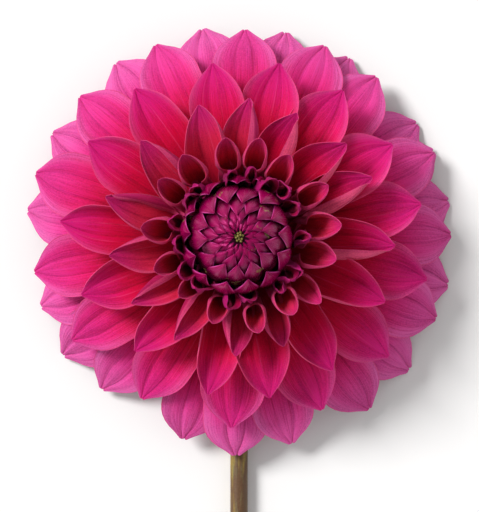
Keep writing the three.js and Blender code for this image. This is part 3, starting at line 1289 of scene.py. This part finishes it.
@dataclass
class Stem:
    """The bare stem, bent at the neck and cut at its far end."""

    plan: Plan
    around: int = 40
    steps: int = 120
    cut_steps: int = 8  # steps of the mesh that go round the rim of the cut and inside it
    cut_depth: float = 0.0035
    hollow: float = 0.45
    rib_count: float = 9.0
    rib_depth: float = 0.022
    neck_length: float = 1.6  # length of the bend, as a share of its height
    neck_swell: float = 0.05

    def build(self) -> None:
        """Builds the stem."""
        low, high = (Vector(c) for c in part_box("stem"))
        radius = self.plan.stem_radius
        neck, end = high.z, low.y
        bend = neck - radius
        blank = Blank(self.around, self.steps, "stem")
        shell = self.steps - self.cut_steps
        row = np.arange(self.steps + 1)
        run = np.clip(row / shell, 0.0, 1.0) ** 1.6
        corner = bend * self.neck_length
        total = corner + (self.plan.axis.y - bend - end)
        walk = run * total
        s = np.clip(walk / corner, 0.0, 1.0)
        y = -bend * s**2 - np.clip(walk - corner, 0.0, None)
        z = radius + bend * (1.0 - s) ** 2
        dy, dz = -2.0 * s, -2.0 * (1.0 - s)
        length = np.hypot(dy, dz)
        dy, dz = dy / length, dz / length
        inside = np.clip((row - shell) / float(self.cut_steps), 0.0, 1.0)
        stops = [0.0, 0.25, 0.4, 0.6, 0.85, 1.0]
        bore = [self.hollow + 0.12, self.hollow, self.hollow * 0.92]
        size = np.interp(inside, stops, [1.0, 0.93, *bore, 0.0])
        back = np.interp(inside, stops, [0.0, 0.0, 0.0, 0.3, 1.0, 1.0])
        y = y + back * self.cut_depth
        turn = blank.across * np.pi
        groove = 0.5 + 0.5 * np.cos(turn * self.rib_count)
        ribs = 1.0 - self.rib_depth * groove * (inside[:, None] == 0.0)
        swell = 1.0 + self.neck_swell * bump(run, 0.0, 0.03)[:, None]
        ring = radius * size[:, None] * ribs * swell
        sideways = ring * np.sin(turn)
        upwards = ring * np.cos(turn)
        points = np.stack([
            self.plan.axis.x + sideways,
            self.plan.axis.y + y[:, None] - upwards * dz[:, None],
            z[:, None] - upwards * dy[:, None],
        ], -1)
        piece = blank.copy("flower_stem", points)
        mark(piece, "across", blank.across.ravel())
        mark(piece, "along", np.repeat(run, self.around + 1))
        mark(piece, "side", np.repeat((inside > 0.05).astype(float), self.around + 1))
        close(piece)
        choose(piece)
        bpy.ops.object.mode_set(mode="EDIT")
        bpy.ops.mesh.select_all(action="DESELECT")
        bpy.ops.mesh.select_non_manifold()
        bpy.ops.mesh.edge_face_add()
        bpy.ops.object.mode_set(mode="OBJECT")
        settle(piece, StemFinish().make(), Slot.STEM, "stem")


@dataclass
class Base:
    """Receptacle and the two rings of bracts behind the bloom."""

    plan: Plan
    rng: np.random.Generator
    outer: int = 5
    inner: int = 8
    blank: Blank = field(default_factory=lambda: Blank(14, 20, "bract_blank"))

    def build(self) -> None:
        """Builds the receptacle and its bracts."""
        self._receptacle()
        leafy = LeafFinish("outer_bract_skin", (0.13, 0.19, 0.045), (0.21, 0.27, 0.08),
                           (0.25, 0.20, 0.08)).make()
        papery = LeafFinish("inner_bract_skin", (0.30, 0.33, 0.13), (0.42, 0.40, 0.20),
                            (0.45, 0.25, 0.24)).make()
        for number in range(self.outer):
            low, high = (Vector(c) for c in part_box(f"outer_bract_{number + 1}"))
            angle = self.plan.stem_angle + math.tau * (number + 0.5) / self.outer
            self._bract(
                f"leafy_bract_{number + 1}", f"outer_bract_{number + 1}", leafy, angle,
                start=(0.0066, high.z - 0.0010), bend=(0.0145, high.z + 0.0006),
                tip=(0.0224, low.z + 0.0004), width=0.0072, curl=0.35, thickness=0.0007,
            )
        low, high = (Vector(c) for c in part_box("inner_bracts"))
        for number in range(self.inner):
            lift = 0.00035 * (number % 2)
            self._bract(
                f"papery_bract_{number + 1}", "inner_bracts", papery,
                math.tau * (number + 0.25) / self.inner,
                start=(0.0105, low.z - 0.0004 + lift), bend=(0.015, low.z + lift),
                tip=(high.x - self.plan.axis.x, high.z + lift),
                width=0.0125, curl=0.3, thickness=0.0004,
            )

    def _bract(self, name: str, node: str, skin: bpy.types.Material, angle: float,
               start: tuple[float, float], bend: tuple[float, float], tip: tuple[float, float],
               width: float, curl: float, thickness: float) -> None:
        """Builds one bract along a line of radius and height.

        Args:
            name: Name of the piece.
            node: CAD node that it stands for.
            skin: Its material.
            angle: Its direction from the bloom's axis, in radians.
            start: Radius and height of its foot.
            bend: Radius and height that its line bends towards.
            tip: Radius and height of its tip.
            width: Its flat width, in metres.
            curl: Half the angle that its section turns through, in radians.
            thickness: Its thickness, in metres.
        """
        jitter = self.rng.normal(0.0, 1.0, 3)
        section = Section(width, curl)
        form = FloretForm(
            self.plan, angle, start, bend, tip, section,
            roll=math.radians(2.0) * jitter[0], sway=0.0004 * jitter[1],
            crease=0.0002, ripple=0.0002, phase=jitter[2],
            base_curl=0.5, claw_share=0.6, taper=0.009,
        )
        piece = ThinPiece(name, self.blank, thickness).build(
            form.surface(self.blank.across, self.blank.along),
            {"age": 0.5, "tone": float(self.rng.uniform(-1.0, 1.0))},
        )
        settle(piece, skin, Slot.BRACT, node)

    def _receptacle(self) -> None:
        """Builds the receptacle from its packed box."""
        low, high = (Vector(c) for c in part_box("receptacle"))
        radius, rim = self.plan.seat_radius, self.plan.seat_rim
        foot = rim - low.z
        profile = [(radius * math.cos(t), rim + self.plan.seat_rise * math.sin(t))
                   for t in np.linspace(math.pi / 2, 0.0, 12)]
        profile[0] = (0.0, high.z)
        profile += [(radius * 0.985, rim - foot * 0.12), (radius * 0.92, rim - foot * 0.35),
                    (radius * 0.76, rim - foot * 0.62), (radius * 0.52, rim - foot * 0.82),
                    (self.plan.stem_radius * 1.12, low.z + foot * 0.04),
                    (self.plan.stem_radius * 0.9, low.z), (0.0, low.z)]
        skin = LeafFinish("receptacle_skin", (0.33, 0.37, 0.14), (0.40, 0.42, 0.20),
                          (0.22, 0.26, 0.08)).make()
        piece = turned("flower_base", self.plan.axis, profile, 48)
        settle(piece, skin, Slot.RECEPTACLE, "receptacle")


@dataclass
class Studio:
    """Pale table, soft daylight from the upper left, and a camera that looks down on the bloom."""

    plan: Plan
    distance: float = 1.3
    tilt: float = math.radians(0.4)
    view_height: float = 0.1536
    aim: tuple[float, float, float] = (0.00015, -0.0052, 0.012)
    overhead: float = 0.37
    all_round: float = 0.85
    table_size: float = 6.0
    sensor: float = 36.0
    window: tuple[float, float, float] = (-0.66, 0.41, 0.68)
    window_spread: float = 0.36
    window_strength: float = 3.05

    def build(self) -> None:
        """Builds table, lights and camera."""
        self._table()
        self._world()
        self._daylight("window", self.window, self.window_spread, self.window_strength)
        self._camera()
        bpy.context.scene.view_settings.view_transform = "Standard"

    def _table(self) -> None:
        """Adds the table top."""
        bpy.ops.object.select_all(action="DESELECT")
        bpy.ops.mesh.primitive_plane_add(size=self.table_size, location=(0.0, 0.0, 0.0))
        table = bpy.context.object
        table.name = "table_top"
        table.data.materials.append(TableFinish().make())

    def _world(self) -> None:
        """Adds even light from all round, weaker from overhead."""
        world = bpy.data.worlds.new("studio")
        bpy.context.scene.world = world
        r = Recipe(world)
        towards = r.node("ShaderNodeTexCoord").outputs["Generated"]
        height = Val(r, r.node("ShaderNodeSeparateXYZ", None, {0: towards}).outputs["Z"])
        strength = self.overhead + (self.all_round - self.overhead) * height.ramp(1.0, 0.05)
        inputs = {"Color": (1.0, 0.995, 0.99), "Strength": strength}
        light = r.node("ShaderNodeBackground", None, inputs)
        r.node("ShaderNodeOutputWorld", None, {"Surface": light.outputs[0]})

    def _daylight(self, name: str, source: tuple[float, float, float], spread: float,
                  strength: float) -> None:
        """Adds soft daylight from one side.

        Args:
            name: Name of the light.
            source: Direction that the light comes from.
            spread: Angle that its source fills, in radians.
            strength: Its strength on a surface that faces it.
        """
        light = bpy.data.lights.new(name, "SUN")
        light.angle = spread
        light.energy = strength
        light.color = (1.0, 0.99, 0.98)
        lamp = bpy.data.objects.new(name, light)
        bpy.context.collection.objects.link(lamp)
        lamp.rotation_euler = (-Vector(source)).to_track_quat("-Z", "Y").to_euler()

    def _camera(self) -> None:
        """Adds the camera."""
        camera = bpy.data.cameras.new("camera")
        camera.sensor_width = self.sensor
        camera.lens = self.sensor * self.distance / self.view_height
        holder = bpy.data.objects.new("camera", camera)
        bpy.context.collection.objects.link(holder)
        target = self.plan.axis + Vector(self.aim)
        back = Vector((0.0, -math.sin(self.tilt), math.cos(self.tilt)))
        holder.location = target + back * self.distance
        holder.rotation_euler = (self.tilt, 0.0, 0.0)
        camera.clip_end = 20.0
        bpy.context.scene.camera = holder


def main() -> None:
    """Builds the flower and its studio, and notes the size of the result."""
    logging.basicConfig(level=logging.INFO, format="%(name)s: %(message)s")
    plan = Plan.read()
    rng = np.random.default_rng(SEED)
    Studio(plan).build()
    Stem(plan).build()
    Base(plan, rng).build()
    RayFlorets(plan, rng).build()
    YoungFlorets(plan, rng).build()
    Bud(plan, rng).build()


if __name__ == "__main__":
    main()
